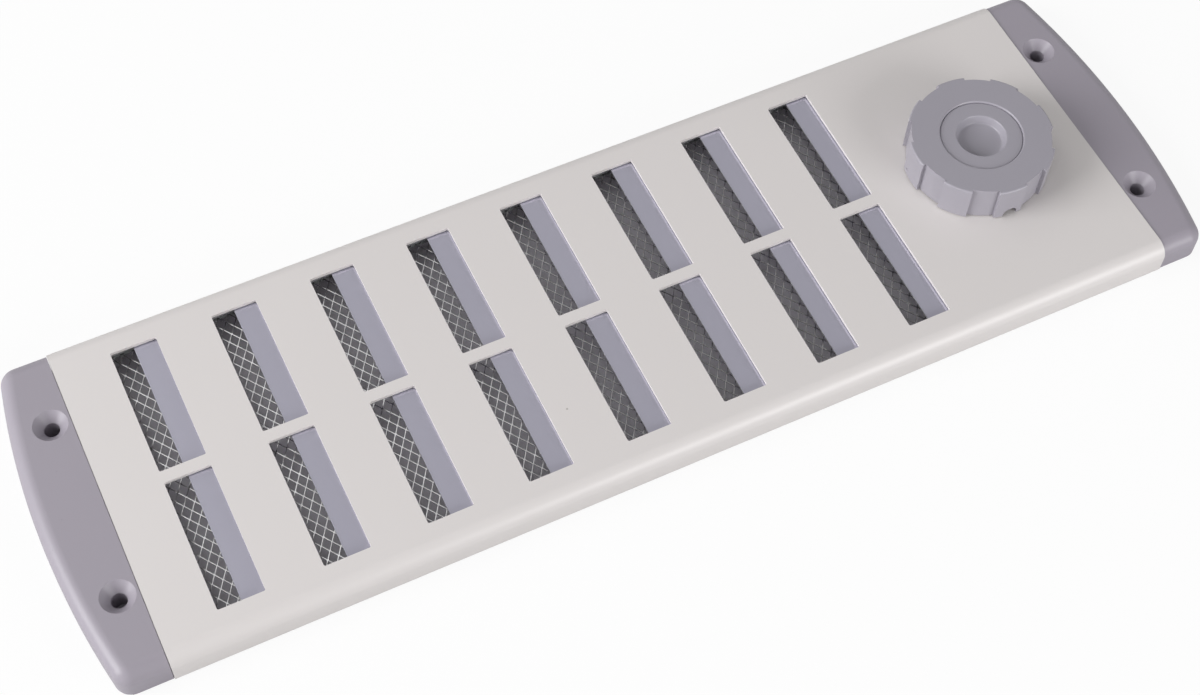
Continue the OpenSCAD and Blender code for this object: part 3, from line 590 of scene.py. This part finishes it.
# Insect screen: expanded aluminium mesh, a thin sheet slit and drawn out into raised diamonds,
# 3.2 mm across and 4.6 mm along the slots. Its edge is pressed flat into a folded aluminium
# frame, which eight small zinc plated screws hold under the cover's ledges.
STRAND_WIDTH = 0.30
STRAND_THICKNESS = 0.22
STRAND_LEAN = 9.0
STRAND_MERGE = 0.00001
BOND_LENGTH = 0.4
CELL_WIDTH = 3.2
CELL_LENGTH = 4.6
MESH_NODE = (-132.5, -0.9)
MESH_TURN = 1.05
SCREEN_MIDDLE = 4.8
SCREEN_LEFT = -142.7
SCREEN_RIGHT = 89.55
SCREEN_HALF_WIDTH = 47.1
PRESSED_WIDTH = 1.5
PRESSED_HALF_HEIGHT = 0.45
MESH_BRIGHT = (0.85, 0.85, 0.85, 1)
# The mesh's dull tone is near black: painted shade in patches between the glinting strands.
MESH_PAINTED_SHADE = (0.10, 0.10, 0.10, 1)
MILL_BRIGHT = (0.70, 0.71, 0.72, 1)
MILL_DULL = (0.55, 0.56, 0.57, 1)
ZINC_BRIGHT = (0.66, 0.67, 0.68, 1)
ZINC_DULL = (0.50, 0.51, 0.52, 1)
METAL_RELIEF = 0.12
METAL_RELIEF_HEIGHT = 0.00003
METAL_ROUGH_STREAKS = 0.15


def keep_side(piece, point, normal):
    """Cuts a mesh by a plane and clears what lies beyond it."""
    edit(piece)
    bpy.ops.mesh.bisect(plane_co=Vector(point) * MM, plane_no=normal, clear_outer=True)
    leave()


strand_step = STRAND_WIDTH * math.cos(math.radians(STRAND_LEAN))
strand_rise = STRAND_WIDTH * math.sin(math.radians(STRAND_LEAN))
rows = 2 * math.ceil(SCREEN_HALF_WIDTH / CELL_LENGTH) + 2
zigzag = []
for row in range(-rows, rows + 1):
    far = row % 2
    x = MESH_NODE[0] + far * (CELL_WIDTH / 2 - strand_step)
    y = MESH_NODE[1] + row * CELL_LENGTH / 2
    z = -far * strand_rise
    zigzag += [(x, y - BOND_LENGTH / 2, z), (x, y + BOND_LENGTH / 2, z)]
strands = trace("strands", zigzag)
before = math.ceil((MESH_NODE[0] - SCREEN_LEFT) / CELL_WIDTH) + 2
after = math.ceil((SCREEN_RIGHT - MESH_NODE[0]) / CELL_WIDTH) + 2
apply_modifier(
    strands, "ARRAY", count=before + after, use_relative_offset=False,
    use_constant_offset=True, constant_offset_displace=(CELL_WIDTH * MM, 0, 0),
)
edit(strands)
bpy.ops.transform.translate(value=(-before * CELL_WIDTH * MM, 0, 0))
strand_side = Vector((strand_step, 0, strand_rise)) * MM
bpy.ops.mesh.extrude_region_move(TRANSFORM_OT_translate={"value": strand_side})
leave()
alone(strands)
bpy.ops.object.duplicate()
turned_strands = bpy.context.object
edit(turned_strands)
mesh_centre = MESH_NODE[0] + (after - before) * CELL_WIDTH / 2
bpy.ops.transform.resize(value=(-1, 1, -1), center_override=(mesh_centre * MM, 0, 0))
leave()
strands = join("strands", [strands, turned_strands])
edit(strands)
bpy.ops.mesh.remove_doubles(threshold=STRAND_MERGE)
bpy.ops.mesh.select_all(action="SELECT")
bpy.ops.mesh.normals_make_consistent(inside=False)
bpy.ops.transform.rotate(value=math.radians(-MESH_TURN), orient_axis="Z", center_override=(0, 0, 0))
bpy.ops.transform.translate(value=(0, 0, SCREEN_MIDDLE * MM))
leave()
middle = PRESSED_WIDTH / 2
keep_side(strands, (SCREEN_LEFT + middle, 0, 0), (-1, 0, 0))
keep_side(strands, (SCREEN_RIGHT - middle, 0, 0), (1, 0, 0))
keep_side(strands, (0, SCREEN_HALF_WIDTH - middle, 0), (0, 1, 0))
keep_side(strands, (0, middle - SCREEN_HALF_WIDTH, 0), (0, -1, 0))
apply_modifier(strands, "SOLIDIFY", thickness=STRAND_THICKNESS * MM, offset=0)
pressed = box(
    "pressed_edge",
    (SCREEN_LEFT, -SCREEN_HALF_WIDTH, SCREEN_MIDDLE - PRESSED_HALF_HEIGHT),
    (SCREEN_RIGHT, SCREEN_HALF_WIDTH, SCREEN_MIDDLE + PRESSED_HALF_HEIGHT),
)
hole = box(
    "pressed_hole",
    (SCREEN_LEFT + PRESSED_WIDTH, PRESSED_WIDTH - SCREEN_HALF_WIDTH, 0),
    (SCREEN_RIGHT - PRESSED_WIDTH, SCREEN_HALF_WIDTH - PRESSED_WIDTH, COVER_TOP),
)
combine(pressed, hole)
screen = join("insect_screen", [strands, pressed])


def metal(name, bright, dull, roughness, streaks, stretch=(1, 1, 1), patches=60):
    """Drawn, ground or plated metal: fine streaks along one way and patches between a bright and a dull
    tone, a little tarnish on most metals, painted glints and painted shade on the screen's mesh.
    """
    made, shade = new_shade(bpy.data.materials, name)
    place = shade.node("ShaderNodeTexCoord").outputs["Object"]
    stretched = shade.node("ShaderNodeMapping", {}, {"Vector": place, "Scale": stretch}).outputs[0]
    cloud = noise(shade, place, patches, detail=3)
    streak = noise(shade, stretched, streaks, detail=2)
    close_shade(shade, {
        "Base Color": blend(shade, cloud, bright, dull),
        "Metallic": 1.0,
        "Roughness": roughness + METAL_ROUGH_STREAKS * streak,
        "Normal": relief(shade, streak, METAL_RELIEF, METAL_RELIEF_HEIGHT),
    })
    return made


# On the mesh the bright and dull patches are painted glints and painted shade, breaking the strands'
# glints into short pieces.
mesh_sheet = metal("mesh_sheet", MESH_BRIGHT, MESH_PAINTED_SHADE, roughness=0.14, streaks=1500, patches=300)
mill_finish = metal(
    "mill_finish", MILL_BRIGHT, MILL_DULL, roughness=0.32, streaks=200, stretch=(1, 12, 12)
)
zinc_plate = metal("zinc_plate", ZINC_BRIGHT, ZINC_DULL, roughness=0.30, streaks=900)
finish_piece(screen, mesh_sheet, "screen_mesh", "housing", "wire_mesh")
dress(mill_finish, "mesh_frame")
dress(zinc_plate, "retaining_screws")

# Knob drive: a zinc plated steel bridge across the channel carries the foot of the shaft.
# The shaft is ground steel with two flats, in acetal bushes, held up by a clip and a coned
# spring. An acetal pinion on it drives an acetal rack, riveted under the shutter.
STEEL_BRIGHT = (0.60, 0.60, 0.62, 1)
STEEL_DULL = (0.50, 0.50, 0.52, 1)

ground_steel = metal(
    "ground_steel", STEEL_BRIGHT, STEEL_DULL, roughness=0.20, streaks=600, stretch=(1, 1, 30)
)
dress(zinc_plate, "bearing_bridge", "rack_rivets")
dress(ground_steel, "drive_shaft", "disc_spring", "retaining_clip")
dress(acetal, "upper_bush", "lower_bush", "pinion_gear", "rack")

# End caps: moulded plastic, grey with a lilac cast, hollow behind with ribs and screw bosses.
# Their sides are rounded like the cover's and so is their bowed end. A ribbed plug enters the
# cover's end, and two countersunk holes in each take the screws into the wall.
CAP_HALF_WIDTH = 52.2
CAP_TOP = 9.7
CAP_REACH = 19.4
CAP_BULGE = 5.5
CAP_CORNER = 5.0
CAP_BOW_EDGE = 4.5
CAP_SIDE_EDGE = 4.5
CAP_TURNS = (0, 8, 16, 24, 32, 40, 48, 55, 62, 68, 74, 79, 84, 90)
CAP_WALL = 2.4
CAP_RIB = 1.4
CAP_EDGE = 0.3
CAP_JOINT = 0.15
BOSS_RADIUS = 5.35
FIXING_X = 5.9
FIXING_Y = 28.5
FIXING_RADIUS = 2.25
SINK_RADIUS = 4.95
PLUG_DEPTH = 7.5
PLUG_HALF_WIDTH = 45.0
PLUG_LOW = 1.2
PLUG_HIGH = 8.9
PLUG_WALL = 1.6
PLUG_CELLS = 5
PLUG_EDGE = 0.15
CAP_MERGE = 0.000002
LEFT_TONGUE = 14.55
RIGHT_TONGUE = 10.73
CAP_LILAC = (0.347, 0.321, 0.366, 1)
CAP_LILAC_THIN = (0.330, 0.304, 0.349, 1)
CAP_SPECK = (0.22, 0.20, 0.24, 1)
CAP_SPECK_CELLS = 170
CAP_SPECK_SIZE = 0.03
CAP_SPECK_DEPTH = 0.3
CAP_CLOUDS = 25
CAP_SKIN = 1900
CAP_RELIEF = 0.22
CAP_RELIEF_HEIGHT = 0.00006
CAP_ROUGHNESS = 0.32
CAP_ROUGH_SKIN = 0.08
CAP_IOR = 1.42


def cap_outline(start, side_inset, bow_inset, height, steps):
    """Level outline of a cap: two sides, two round corners and a bow, inset by two amounts."""
    bow_radius = (CAP_HALF_WIDTH ** 2 + CAP_BULGE ** 2) / (2 * CAP_BULGE)
    bow_middle = CAP_REACH - bow_radius
    half_width = CAP_HALF_WIDTH - side_inset
    corner = CAP_CORNER - (side_inset + bow_inset) / 2
    reach = bow_radius - bow_inset - corner
    corner_y = half_width - corner
    corner_x = bow_middle + math.sqrt(reach ** 2 - corner_y ** 2)
    lean = math.degrees(math.asin(corner_y / reach))
    lower = arc((corner_x, -corner_y), corner, -90, -lean, steps)
    bow = arc((bow_middle, 0), bow_radius - bow_inset, -lean, lean, 4 * steps)
    upper = arc((corner_x, corner_y), corner, lean, 90, steps)
    plan = [(start, -half_width)] + lower + bow[1:-1] + upper + [(start, half_width)]
    return [(x, y, height) for x, y in plan]


def round_inset(radius, height):
    """How far a rounded top edge has drawn in at a height."""
    rise = max(0, height - (CAP_TOP - radius))
    return radius - math.sqrt(radius ** 2 - rise ** 2)


def loft(name, outlines):
    """A closed form through level outlines with equal point counts."""
    form = join(name, [trace(name, outline + outline[:1]) for outline in outlines])
    edit(form)
    bpy.ops.mesh.remove_doubles(threshold=CAP_MERGE)
    bpy.ops.mesh.select_all(action="SELECT")
    bpy.ops.mesh.bridge_edge_loops()
    bpy.ops.mesh.select_all(action="DESELECT")
    bpy.ops.mesh.select_non_manifold()
    bpy.ops.mesh.fill_holes(sides=0)
    bpy.ops.mesh.select_all(action="SELECT")
    bpy.ops.mesh.normals_make_consistent(inside=False)
    leave()
    return form


def end_cap(name, tongue, side):
    """One cap at the right or left end, with its holes, ribs, bosses, plug and tongue."""
    levels = [0] + [CAP_TOP - CAP_BOW_EDGE * (1 - math.sin(math.radians(turn))) for turn in CAP_TURNS]
    cap = loft(
        name,
        [
            cap_outline(
                CAP_JOINT, round_inset(CAP_SIDE_EDGE, z), round_inset(CAP_BOW_EDGE, z), z, steps=10
            )
            for z in levels
        ],
    )
    for y in (-FIXING_Y, FIXING_Y):
        combine(cap, cone("bore", (FIXING_X, y), -OVERRUN, COVER_TOP, FIXING_RADIUS, FIXING_RADIUS))
        sink_low = CAP_TOP - (SINK_RADIUS - FIXING_RADIUS)
        sink_high = CAP_TOP + MARGIN
        combine(cap, cone("sink", (FIXING_X, y), sink_low, sink_high, FIXING_RADIUS, SINK_RADIUS + MARGIN))
    soften(cap, CAP_EDGE)
    hollow_plan = cap_outline(CAP_WALL, CAP_WALL, CAP_WALL, -OVERRUN, steps=6)
    hollow = prism(name + "_hollow", hollow_plan, (0, 0, CAP_TOP - CAP_WALL + OVERRUN))
    for y in (-FIXING_Y, FIXING_Y):
        combine(hollow, cone("boss", (FIXING_X, y), -2 * OVERRUN, COVER_TOP, BOSS_RADIUS, BOSS_RADIUS))
        for rib_y in (y, y / 3):
            rib_low = (-OVERRUN, rib_y - CAP_RIB / 2, -2 * OVERRUN)
            combine(hollow, box("rib", rib_low, (CAP_REACH, rib_y + CAP_RIB / 2, COVER_TOP)))
    combine(cap, hollow)
    plug_high = (CAP_WALL / 2, PLUG_HALF_WIDTH, PLUG_HIGH)
    plug = box(name + "_plug", (-PLUG_DEPTH, -PLUG_HALF_WIDTH, PLUG_LOW), plug_high)
    cell = (2 * PLUG_HALF_WIDTH - PLUG_WALL) / PLUG_CELLS
    roof = PLUG_HIGH - PLUG_WALL
    for i in range(PLUG_CELLS):
        low = PLUG_WALL - PLUG_HALF_WIDTH + i * cell
        combine(plug, box("cell", (PLUG_WALL - PLUG_DEPTH, low, 0), (0, low + cell - PLUG_WALL, roof)))
    tongue_high = (-PLUG_DEPTH / 2, PLUG_HALF_WIDTH, PLUG_HIGH)
    combine(plug, box(name + "_tongue", (-tongue, -PLUG_HALF_WIDTH, roof), tongue_high), "UNION")
    soften(plug, PLUG_EDGE, segments=1)
    combine(cap, plug, "UNION")
    edit(cap)
    bpy.ops.transform.translate(value=(COVER_HALF_LENGTH * MM, 0, 0))
    if side < 0:
        bpy.ops.transform.resize(value=(-1, 1, 1), center_override=(0, 0, 0))
        bpy.ops.mesh.normals_make_consistent(inside=False)
    leave()
    smooth(cap)
    return cap


cap_plastic, shade = new_shade(bpy.data.materials, "cap_plastic")
place = shade.node("ShaderNodeTexCoord").outputs["Object"]
cloud = noise(shade, place, CAP_CLOUDS, detail=3)
skin = noise(shade, place, CAP_SKIN, detail=3, roughness=0.6)
tone = blend(shade, cloud, CAP_LILAC, CAP_LILAC_THIN)
dot = specks(shade, place, CAP_SPECK_CELLS, CAP_SPECK_SIZE) * CAP_SPECK_DEPTH
close_shade(shade, {
    "Base Color": blend(shade, dot, tone, CAP_SPECK),
    "Roughness": CAP_ROUGHNESS + CAP_ROUGH_SKIN * skin,
    "IOR": CAP_IOR,
    "Normal": relief(shade, skin, CAP_RELIEF, CAP_RELIEF_HEIGHT),
})
finish_piece(end_cap("left_cap", LEFT_TONGUE, -1), cap_plastic, "cap_plastic", "housing", "left_end_cap")
finish_piece(end_cap("right_cap", RIGHT_TONGUE, 1), cap_plastic, "cap_plastic", "housing", "right_end_cap")

# Knob: a moulded cup of grey plastic with eight shallow grip notches round its skirt and a
# release arch in its lower edge. Inside are a well, a web and a hub with ribs. A zinc plated
# screw and washer in the well hold it on the shaft.
KNOB_RADIUS = 22.0
KNOB_BOTTOM = 10.4
KNOB_TOP = 22.4
KNOB_EDGE = 0.6
WELL_ROUND = 0.45
SKIRT_INNER = 18.9
FACE_UNDER = 17.85
WELL_RADIUS = 11.2
WELL_OUTER = 13.4
SEAT_RADIUS = 12.42
SEAT_HEIGHT = 20.05
WEB_LOW = 14.6
WEB_HIGH = 15.6
HUB_RADIUS = 5.5
HUB_LOW = 10.6
SHAFT_HOLE = 3.03
SCREW_HOLE = 1.7
SHAFT_STOP = 0.1
KNOB_RIB_HALF = 0.6
KNOB_RIB_SINK = 0.4
KNOB_RIB_HEAD = 0.5
KNOB_STEPS = 144
NOTCHES = 8
NOTCH_DEPTH = 1.1
LAND_ANGLE = 23.5
LAND_PHASE = -5.0
ARCH_ANGLE = -93.5
ARCH_RADIUS = 2.3
ARCH_RISE = 0.6
GRIP_ROUND = 0.2
PIT_ANGLE = 169.0
PIT_HEIGHT = 12.2
PIT_RADIUS = 0.45
KNOB_GREY = (0.351, 0.335, 0.379, 1)
KNOB_GREY_THIN = (0.335, 0.319, 0.363, 1)
KNOB_CLOUDS = 45
KNOB_SKIN = 2200
KNOB_RELIEF = 0.18
KNOB_RELIEF_HEIGHT = 0.00005
KNOB_ROUGHNESS = 0.34
KNOB_ROUGH_SKIN = 0.08
KNOB_IOR = 1.62
KNOB_MERGE = 0.000005


def revolve(name, section, steps):
    """Turns a closed section, given as radius and height, all round the knob's axis."""
    piece = trace(name, [(KNOB_X + radius, 0, height) for radius, height in section + section[:1]])
    edit(piece)
    bpy.ops.mesh.remove_doubles(threshold=KNOB_MERGE)
    bpy.ops.mesh.select_all(action="SELECT")
    bpy.ops.mesh.spin(
        steps=steps, angle=math.tau, center=(KNOB_X * MM, 0, 0), axis=(0, 0, 1), use_auto_merge=True
    )
    bpy.ops.mesh.select_all(action="SELECT")
    bpy.ops.mesh.remove_doubles(threshold=KNOB_MERGE)
    bpy.ops.mesh.normals_make_consistent(inside=False)
    leave()
    return piece


def turn(piece, angle):
    """Turns a piece about the knob's axis."""
    edit(piece)
    bpy.ops.transform.rotate(
        value=math.radians(-angle), orient_axis="Z", center_override=(KNOB_X * MM, 0, 0)
    )
    leave()


knob = revolve(
    "turning_knob",
    [(SCREW_HOLE, WEB_HIGH), (WELL_RADIUS, WEB_HIGH)]
    + [(WELL_RADIUS, SEAT_HEIGHT), (SEAT_RADIUS, SEAT_HEIGHT)]
    + arc((SEAT_RADIUS + WELL_ROUND, KNOB_TOP - WELL_ROUND), WELL_ROUND, 180, 90, steps=4)
    + arc((KNOB_RADIUS - KNOB_EDGE, KNOB_TOP - KNOB_EDGE), KNOB_EDGE, 90, 0, steps=5)
    + [(KNOB_RADIUS, KNOB_BOTTOM), (SKIRT_INNER, KNOB_BOTTOM), (SKIRT_INNER, FACE_UNDER)]
    + [(WELL_OUTER, FACE_UNDER), (WELL_OUTER, WEB_LOW), (HUB_RADIUS, WEB_LOW), (HUB_RADIUS, HUB_LOW)]
    + [(SHAFT_HOLE, HUB_LOW), (SHAFT_HOLE, WEB_LOW - SHAFT_STOP), (SCREW_HOLE, WEB_LOW - SHAFT_STOP)],
    KNOB_STEPS,
)
notch_angle = 360 / NOTCHES - LAND_ANGLE
notch_inner = KNOB_RADIUS - NOTCH_DEPTH
for i in range(NOTCHES):
    middle = LAND_PHASE + (i + 0.5) * 360 / NOTCHES
    low, high = middle - notch_angle / 2, middle + notch_angle / 2
    sector = arc((KNOB_X, 0), notch_inner, low, high, steps=10)
    sector += arc((KNOB_X, 0), KNOB_RADIUS + OVERRUN, high, low, steps=4)
    notch_height = KNOB_TOP - KNOB_BOTTOM + 2 * MARGIN
    plan = [(x, y, KNOB_BOTTOM - MARGIN) for x, y in sector]
    combine(knob, prism("notch", plan, (0, 0, notch_height)))
arch = [(y, KNOB_BOTTOM + ARCH_RISE + z) for y, z in arc((0, 0), ARCH_RADIUS, 0, 360, steps=32)[:-1]]
arch_tool = prism("arch", [(KNOB_X + KNOB_RADIUS / 2, y, z) for y, z in arch], (KNOB_RADIUS, 0, 0))
turn(arch_tool, ARCH_ANGLE)
combine(knob, arch_tool)
bpy.ops.object.select_all(action="DESELECT")
bpy.ops.mesh.primitive_ico_sphere_add(
    subdivisions=3,
    radius=PIT_RADIUS * MM,
    location=Vector((
        KNOB_X + KNOB_RADIUS * math.cos(math.radians(PIT_ANGLE)),
        KNOB_RADIUS * math.sin(math.radians(PIT_ANGLE)),
        PIT_HEIGHT,
    )) * MM,
)
pit = bpy.context.object
bpy.ops.object.transform_apply(location=True, rotation=True, scale=True)
combine(knob, pit)
soften(knob, GRIP_ROUND, angle=30)
for i in range(NOTCHES):
    rib = box(
        "rib",
        (KNOB_X + WELL_OUTER - KNOB_RIB_SINK, -KNOB_RIB_HALF, WEB_LOW),
        (KNOB_X + SKIRT_INNER + KNOB_RIB_SINK, KNOB_RIB_HALF, FACE_UNDER + KNOB_RIB_HEAD),
    )
    turn(rib, i * 360 / NOTCHES)
    knob = join("turning_knob", [knob, rib])
smooth(knob)

knob_plastic, shade = new_shade(bpy.data.materials, "knob_plastic")
place = shade.node("ShaderNodeTexCoord").outputs["Object"]
cloud = noise(shade, place, KNOB_CLOUDS, detail=3)
skin = noise(shade, place, KNOB_SKIN, detail=3, roughness=0.6)
close_shade(shade, {
    "Base Color": blend(shade, cloud, KNOB_GREY, KNOB_GREY_THIN),
    "Roughness": KNOB_ROUGHNESS + KNOB_ROUGH_SKIN * skin,
    "IOR": KNOB_IOR,
    "Normal": relief(shade, skin, KNOB_RELIEF, KNOB_RELIEF_HEIGHT),
})
finish_piece(knob, knob_plastic, "knob_plastic", "knob_drive", "knob")
dress(zinc_plate, "knob_screw", "screw_washer")

# Knob insert: a round lid of the same plastic, snapped into the knob's well over the screw.
# Its face lies half a millimetre under the knob's face, with a dish in the middle for a
# fingertip: a sloping wall and a hollow floor.
INSERT_RADIUS = 12.38
INSERT_TOP = 21.85
INSERT_ROUND = 0.35
DISH_RADIUS = 7.5
DISH_FOOT = 6.6
DISH_DEPTH = 3.0
DISH_SIDE_DEPTH = 2.4
DISH_SKIN = 0.9
LID_HOOK_INNER = 10.2
LID_HOOK_OUTER = 11.1
LID_HOOK_LOW = 18.85
BOWL_STEPS = 8
INSERT_STEPS = 128
INSERT_EDGE = 0.3

bowl_sag = DISH_DEPTH - DISH_SIDE_DEPTH
bowl_radius = (DISH_FOOT ** 2 + bowl_sag ** 2) / (2 * bowl_sag)
bowl_middle = INSERT_TOP - DISH_DEPTH + bowl_radius
bowl_out = [DISH_FOOT * i / BOWL_STEPS for i in range(BOWL_STEPS + 1)]
bowl = [(out, bowl_middle - math.sqrt(bowl_radius ** 2 - out ** 2)) for out in bowl_out]
dish_under = INSERT_TOP - DISH_DEPTH - DISH_SKIN
dish_outer = DISH_RADIUS + DISH_SKIN
insert = revolve(
    "knob_insert",
    [(0, dish_under), (dish_outer, dish_under)]
    + [(dish_outer, SEAT_HEIGHT), (LID_HOOK_INNER, SEAT_HEIGHT), (LID_HOOK_INNER, LID_HOOK_LOW)]
    + [(LID_HOOK_OUTER, LID_HOOK_LOW), (LID_HOOK_OUTER, SEAT_HEIGHT), (INSERT_RADIUS, SEAT_HEIGHT)]
    + arc((INSERT_RADIUS - INSERT_ROUND, INSERT_TOP - INSERT_ROUND), INSERT_ROUND, 0, 90, steps=4)
    + [(DISH_RADIUS, INSERT_TOP)]
    + bowl[::-1],
    INSERT_STEPS,
)
soften(insert, INSERT_EDGE, angle=25)
smooth(insert, angle=35)
finish_piece(insert, knob_plastic, "knob_plastic", "knob_drive", "knob_cap")
